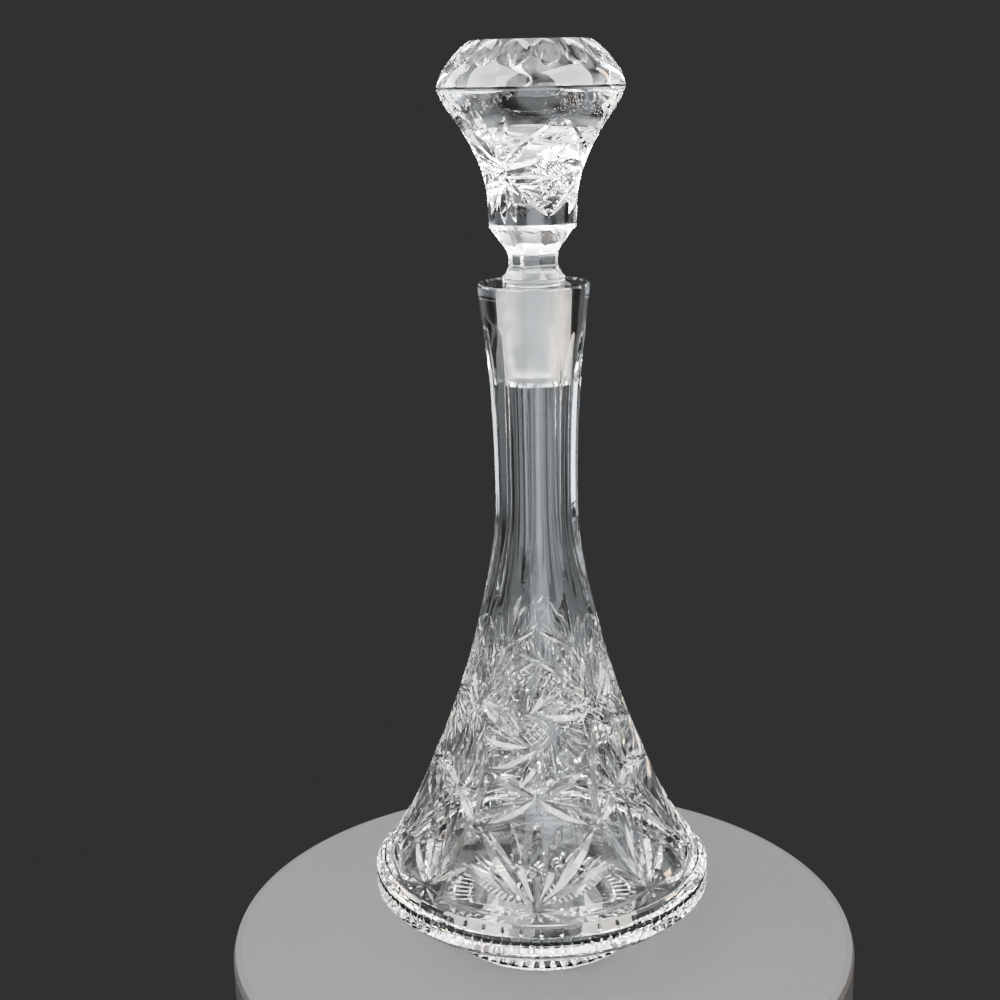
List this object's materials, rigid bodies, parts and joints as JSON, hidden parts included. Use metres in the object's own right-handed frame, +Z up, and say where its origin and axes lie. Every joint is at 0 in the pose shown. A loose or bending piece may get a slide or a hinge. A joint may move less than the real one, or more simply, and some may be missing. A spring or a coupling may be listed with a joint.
{
  "type": "cut crystal decanter",
  "caption": "Tall trumpet-shaped cut crystal decanter with a panelled neck, star and pinwheel cutting on a wide low bowl, and a ground-in mushroom stopper that lifts out.",
  "frame": {"origin": "centre of the foot's standing plane, on the axis of the decanter", "axes": "+Z up along the decanter's axis, -Y is the front, towards the viewer, +X to the viewer's right"},
  "size_m": [0.1538, 0.1538, 0.4],
  "materials": {
    "bottle_crystal": "clear crystal, wheel-cut and polished, with the ground seat inside the neck left frosted",
    "stopper_crystal": "clear crystal, wheel-cut and polished, with the tapered peg ground to a frosted finish"
  },
  "bodies": {
    "decanter": {"decanter_body": "bottle_crystal"},
    "stopper": {"stopper": "stopper_crystal"}
  },
  "joints": [
    {"name": "stopper_lift", "type": "slide", "parent": "decanter", "child": "stopper", "axis": [0, 0, 1], "range_m": [0, 0.08]}
  ]
}
